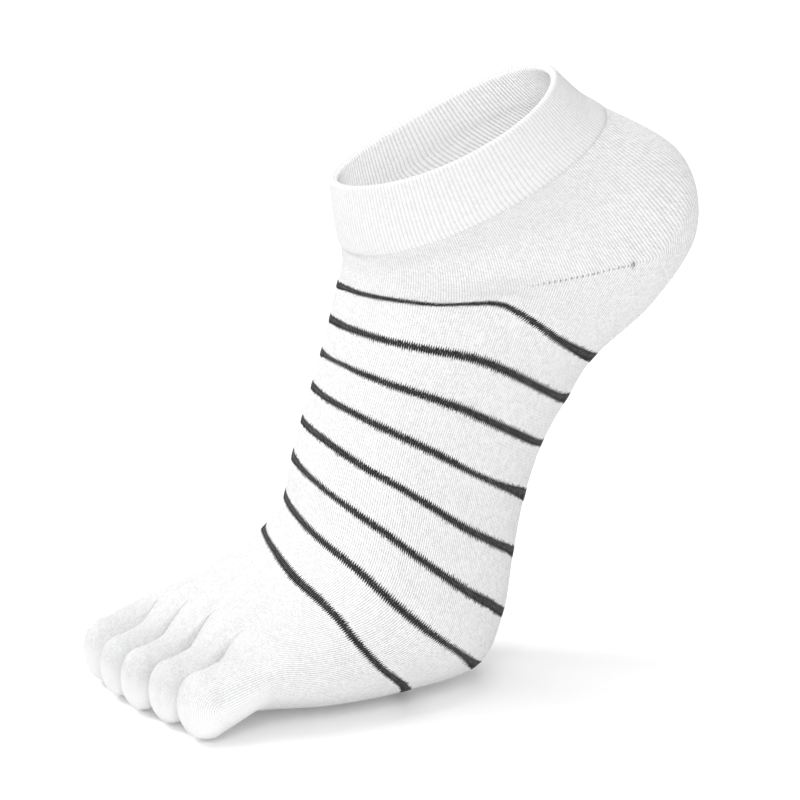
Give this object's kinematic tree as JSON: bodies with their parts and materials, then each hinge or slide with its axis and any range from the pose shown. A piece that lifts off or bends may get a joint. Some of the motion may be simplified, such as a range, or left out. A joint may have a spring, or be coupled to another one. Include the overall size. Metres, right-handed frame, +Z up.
{
  "type": "toe sock",
  "caption": "Low-cut knitted sock for a right foot, with a pocket for each toe, a rib welt and thin dark stripes across the instep.",
  "frame": {"origin": "middle of the opening that the foot goes into", "axes": "+Z up out of the opening, -Y towards the toes, +X towards the big toe's side"},
  "size_m": [0.0873, 0.1943, 0.188],
  "materials": {
    "white_rib": "matt rib knit",
    "white_jersey": "matt plain knit",
    "black_yarn": "matt plain knit"
  },
  "bodies": {
    "root": {"cuff": "white_rib", "foot_body": "white_jersey", "stripe_1": "black_yarn", "stripe_2": "black_yarn", "stripe_3": "black_yarn", "stripe_4": "black_yarn", "stripe_5": "black_yarn", "stripe_6": "black_yarn", "stripe_7": "black_yarn", "stripe_8": "black_yarn", "toe_1_big": "white_jersey", "toe_2": "white_jersey", "toe_3": "white_jersey", "toe_4": "white_jersey", "toe_5_little": "white_jersey"}
  },
  "joints": []
}
